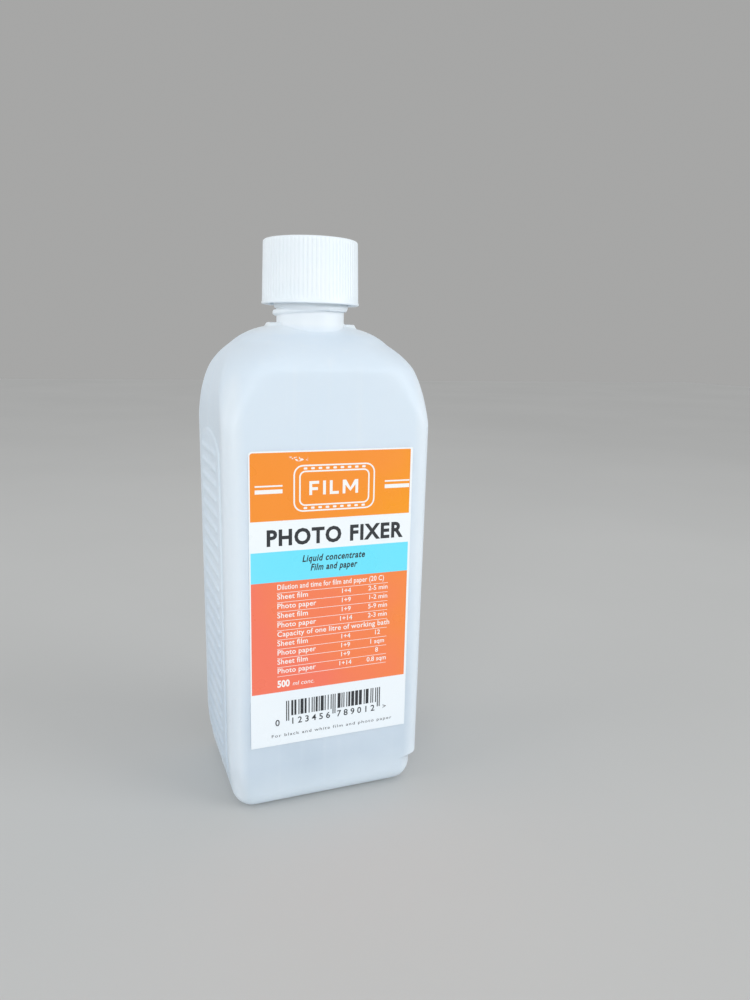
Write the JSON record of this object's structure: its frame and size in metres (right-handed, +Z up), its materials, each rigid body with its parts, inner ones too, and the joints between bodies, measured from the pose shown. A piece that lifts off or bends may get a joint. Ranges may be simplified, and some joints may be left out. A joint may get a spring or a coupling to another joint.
{
  "type": "plastic chemical bottle",
  "caption": "Rectangular translucent plastic bottle for photographic fixer concentrate, with a front label, ribbed side grips and a push-and-turn screw cap.",
  "frame": {"origin": "on the table, under the middle of the bottle's base", "axes": "+Z up along the neck, the labelled front face looks towards -Y, +X to the viewer's right"},
  "size_m": [0.0724, 0.0539, 0.193],
  "materials": {
    "bottle_plastic": "satin, translucent natural polyethylene",
    "cap_plastic": "satin white polypropylene",
    "liner_foam": "matt foam",
    "label_print": "semi-gloss printed film"
  },
  "bodies": {
    "bottle": {"bottle": "bottle_plastic", "front_label": "label_print"},
    "liner": {"cap_liner": "liner_foam"},
    "inner_cap": {"inner_cap": "cap_plastic"},
    "outer_cap": {"cap_shell": "cap_plastic"}
  },
  "joints": [
    {"name": "cap_rise", "type": "slide", "parent": "bottle", "child": "liner", "axis": [0, 0, 1], "range_m": [0, 0.0212]},
    {"name": "cap_turn", "type": "hinge", "parent": "liner", "child": "inner_cap", "pos_m": [0, 0, 0.18], "axis": [0, 0, 1], "range_deg": [0, 1800]},
    {"name": "shell_press", "type": "slide", "parent": "inner_cap", "child": "outer_cap", "axis": [0, 0, -1], "range_m": [0, 0.0012], "stiffness_N_per_m": 4000}
  ],
  "couplings": [
    {"joint": "cap_rise", "follows": "cap_turn", "m_per_rad": 0.00067322}
  ]
}
